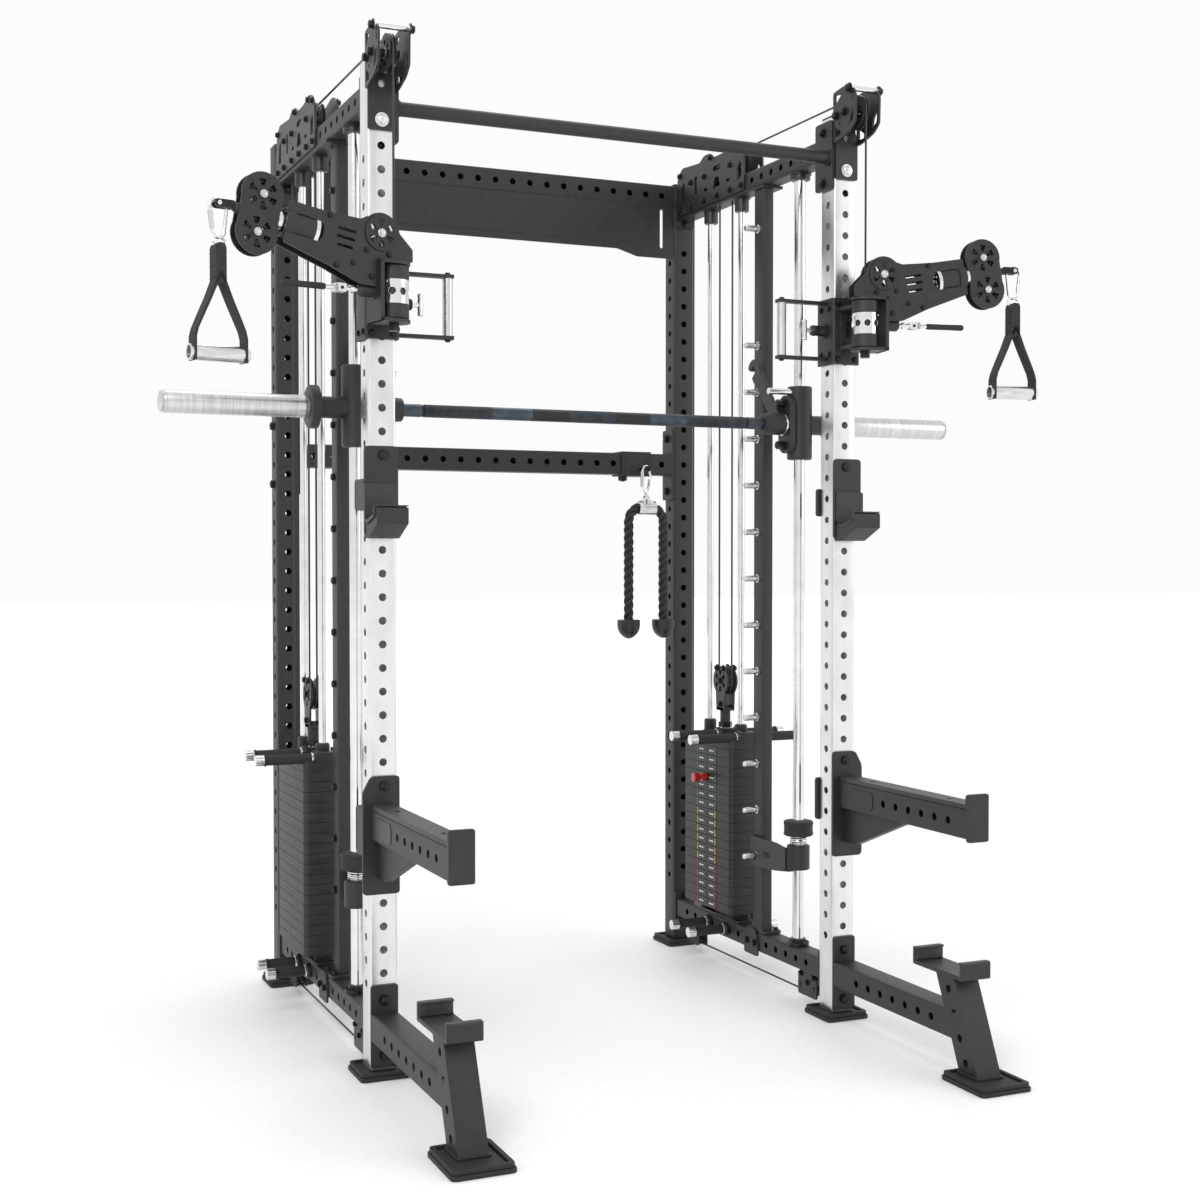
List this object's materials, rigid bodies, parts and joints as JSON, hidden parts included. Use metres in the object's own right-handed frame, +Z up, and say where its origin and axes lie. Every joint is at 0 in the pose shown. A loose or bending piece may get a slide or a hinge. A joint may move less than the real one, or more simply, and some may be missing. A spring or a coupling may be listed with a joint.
{
  "type": "functional trainer rack",
  "caption": "Cable training rack with twin weight stacks, swinging cable arms, a guided barbell on latch hooks, bar holders and spotter arms.",
  "frame": {"origin": "on the floor, under the middle of the rack's outline", "axes": "+X to the rack's right as seen by someone facing it from the front, +Y from the front legs to the rear crossmembers, +Z up"},
  "size_m": [2.0062, 1.578, 2.212],
  "materials": {
    "zinc": "bright zinc with a fine brushed grain",
    "black_coat": "fine textured black powder coat",
    "chrome": "polished",
    "plate_iron": "satin black paint",
    "red_plastic": "gloss",
    "nylon": "satin",
    "cable": "smooth jacket over wire",
    "dark_steel": "dark plated",
    "webbing": "woven webbing with a metal grip",
    "rope": "braided"
  },
  "bodies": {
    "frame": {"rear_top_crossmember": "black_coat", "rear_mid_crossmember": "black_coat", "pull_up_bar": "black_coat", "front_upright_r": "zinc", "front_upright_l": "zinc", "rear_upright_r": "black_coat", "rear_upright_l": "black_coat", "base_beam_r": "black_coat", "base_beam_l": "black_coat", "top_beam_r": "black_coat", "top_beam_l": "black_coat", "latch_column_r": "black_coat", "latch_column_l": "black_coat", "front_leg_r": "black_coat", "front_leg_l": "black_coat", "guide_rods_r": "chrome", "guide_rods_l": "chrome", "smith_rod_r": "chrome", "smith_rod_l": "chrome", "pulley_head_r": "black_coat", "pulley_head_l": "black_coat", "weight_stack_r": "plate_iron", "weight_stack_l": "plate_iron", "top_cable_r": "cable", "top_cable_l": "cable", "low_cable_r": "cable", "low_cable_l": "cable", "stack_cable_r": "cable", "stack_cable_l": "cable", "arm_cable_r": "cable", "arm_cable_l": "cable"},
    "lifted_stack_r": {"lifted_stack_r": "plate_iron"},
    "stack_wheel_r": {"stack_pulley_wheel_r": "nylon"},
    "selector_pin_r": {"selector_pin_r": "red_plastic"},
    "arm_carriage_r": {"arm_carriage_r": "black_coat"},
    "pop_pin_r": {"pop_pin_r": "chrome"},
    "arm_r": {"arm_r": "black_coat"},
    "index_lever_r": {"index_lever_r": "dark_steel"},
    "swivel_head_r": {"swivel_head_r": "black_coat"},
    "strap_handle_r": {"strap_handle_r": "webbing"},
    "smith_stop_r": {"smith_stop_r": "black_coat"},
    "bar_holder_r": {"bar_holder_r": "black_coat"},
    "spotter_arm_r": {"spotter_arm_r": "black_coat"},
    "lifted_stack_l": {"lifted_stack_l": "plate_iron"},
    "stack_wheel_l": {"stack_pulley_wheel_l": "nylon"},
    "selector_pin_l": {"selector_pin_l": "red_plastic"},
    "arm_carriage_l": {"arm_carriage_l": "black_coat"},
    "pop_pin_l": {"pop_pin_l": "chrome"},
    "arm_l": {"arm_l": "black_coat"},
    "index_lever_l": {"index_lever_l": "dark_steel"},
    "swivel_head_l": {"swivel_head_l": "black_coat"},
    "strap_handle_l": {"strap_handle_l": "webbing"},
    "smith_stop_l": {"smith_stop_l": "black_coat"},
    "bar_holder_l": {"bar_holder_l": "black_coat"},
    "spotter_arm_l": {"spotter_arm_l": "black_coat"},
    "smith_carriages": {"smith_carriage_r": "black_coat", "smith_carriage_l": "black_coat"},
    "smith_bar": {"smith_bar": "dark_steel"},
    "rope": {"rope_clamp": "chrome", "rope_handle": "rope"}
  },
  "joints": [
    {"name": "stack_lift_r", "type": "slide", "parent": "frame", "child": "lifted_stack_r", "axis": [0, 0, 1], "range_m": [0, 1.15], "deforming": ["stack_cable_r"]},
    {"name": "stack_wheel_spin_r", "type": "hinge", "parent": "lifted_stack_r", "child": "stack_wheel_r", "pos_m": [0.57, 0.4475, 0.773], "axis": [1, 0, 0], "continuous": true},
    {"name": "selector_pull_r", "type": "slide", "parent": "lifted_stack_r", "child": "selector_pin_r", "axis": [-1, 0, 0], "range_m": [0, 0.12]},
    {"name": "carriage_slide_r", "type": "slide", "parent": "frame", "child": "arm_carriage_r", "axis": [0, 0, 1], "range_m": [-0.2, 0.2], "deforming": ["arm_cable_r"]},
    {"name": "pop_pin_pull_r", "type": "slide", "parent": "arm_carriage_r", "child": "pop_pin_r", "axis": [-1, 0, 0], "range_m": [0, 0.012], "stiffness_N_per_m": 900},
    {"name": "arm_swing_r", "type": "hinge", "parent": "arm_carriage_r", "child": "arm_r", "pos_m": [0.57, -0.241, 1.65], "axis": [0, 0, -1], "range_deg": [-20, 120]},
    {"name": "index_lever_turn_r", "type": "hinge", "parent": "arm_r", "child": "index_lever_r", "pos_m": [0.68768, -0.26175, 1.65], "axis": [-0.1736, -0.9848, 0], "range_deg": [0, 15], "stiffness_Nm_per_rad": 4, "springref_deg": -8.59},
    {"name": "head_swivel_r", "type": "hinge", "parent": "arm_r", "child": "swivel_head_r", "pos_m": [0.86249, -0.29257, 1.7775], "axis": [0.9698, -0.171, 0.1736], "range_deg": [-75, 75]},
    {"name": "handle_swing_r", "type": "hinge", "parent": "swivel_head_r", "child": "strap_handle_r", "pos_m": [0.94127, -0.30647, 1.789], "axis": [-0.1736, -0.9848, 0], "range_deg": [-12, 60]},
    {"name": "stop_turn_r", "type": "hinge", "parent": "frame", "child": "smith_stop_r", "pos_m": [0.57, 0.057, 0.385], "axis": [0, 0, 1], "range_deg": [0, 30]},
    {"name": "holder_roll_r", "type": "hinge", "parent": "frame", "child": "bar_holder_r", "pos_m": [0.57, -0.153, 1.322], "axis": [0, -1, 0], "range_deg": [0, 90]},
    {"name": "spotter_roll_r", "type": "hinge", "parent": "frame", "child": "spotter_arm_r", "pos_m": [0.57, -0.153, 0.622], "axis": [0, -1, 0], "range_deg": [0, 90]},
    {"name": "stack_lift_l", "type": "slide", "parent": "frame", "child": "lifted_stack_l", "axis": [0, 0, 1], "range_m": [0, 1.15], "deforming": ["stack_cable_l"]},
    {"name": "stack_wheel_spin_l", "type": "hinge", "parent": "lifted_stack_l", "child": "stack_wheel_l", "pos_m": [-0.57, 0.4475, 0.773], "axis": [1, 0, 0], "continuous": true},
    {"name": "selector_pull_l", "type": "slide", "parent": "lifted_stack_l", "child": "selector_pin_l", "axis": [1, 0, 0], "range_m": [0, 0.12]},
    {"name": "carriage_slide_l", "type": "slide", "parent": "frame", "child": "arm_carriage_l", "axis": [0, 0, 1], "range_m": [-0.2, 0.2], "deforming": ["arm_cable_l"]},
    {"name": "pop_pin_pull_l", "type": "slide", "parent": "arm_carriage_l", "child": "pop_pin_l", "axis": [1, 0, 0], "range_m": [0, 0.012], "stiffness_N_per_m": 900},
    {"name": "arm_swing_l", "type": "hinge", "parent": "arm_carriage_l", "child": "arm_l", "pos_m": [-0.57, -0.241, 1.65], "axis": [0, 0, 1], "range_deg": [-20, 120]},
    {"name": "index_lever_turn_l", "type": "hinge", "parent": "arm_l", "child": "index_lever_l", "pos_m": [-0.68768, -0.26175, 1.65], "axis": [-0.1736, 0.9848, 0], "range_deg": [0, 15], "stiffness_Nm_per_rad": 4, "springref_deg": -8.59},
    {"name": "head_swivel_l", "type": "hinge", "parent": "arm_l", "child": "swivel_head_l", "pos_m": [-0.86249, -0.29257, 1.7775], "axis": [-0.9698, -0.171, 0.1736], "range_deg": [-75, 75]},
    {"name": "handle_swing_l", "type": "hinge", "parent": "swivel_head_l", "child": "strap_handle_l", "pos_m": [-0.94127, -0.30647, 1.789], "axis": [-0.1736, 0.9848, 0], "range_deg": [-12, 60]},
    {"name": "stop_turn_l", "type": "hinge", "parent": "frame", "child": "smith_stop_l", "pos_m": [-0.57, 0.057, 0.385], "axis": [0, 0, -1], "range_deg": [0, 30]},
    {"name": "holder_roll_l", "type": "hinge", "parent": "frame", "child": "bar_holder_l", "pos_m": [-0.57, -0.153, 1.322], "axis": [0, 1, 0], "range_deg": [0, 90]},
    {"name": "spotter_roll_l", "type": "hinge", "parent": "frame", "child": "spotter_arm_l", "pos_m": [-0.57, -0.153, 0.622], "axis": [0, 1, 0], "range_deg": [0, 90]},
    {"name": "smith_slide", "type": "slide", "parent": "frame", "child": "smith_carriages", "axis": [0, 0, 1], "range_m": [-0.84, 0.42]},
    {"name": "smith_bar_turn", "type": "hinge", "parent": "smith_carriages", "child": "smith_bar", "pos_m": [0, 0.057, 1.438], "axis": [1, 0, 0], "range_deg": [-20, 5]},
    {"name": "rope_swing", "type": "hinge", "parent": "frame", "child": "rope", "pos_m": [0.434, 0.666, 1.3555], "axis": [0, 1, 0], "range_deg": [-5, 25]}
  ]
}
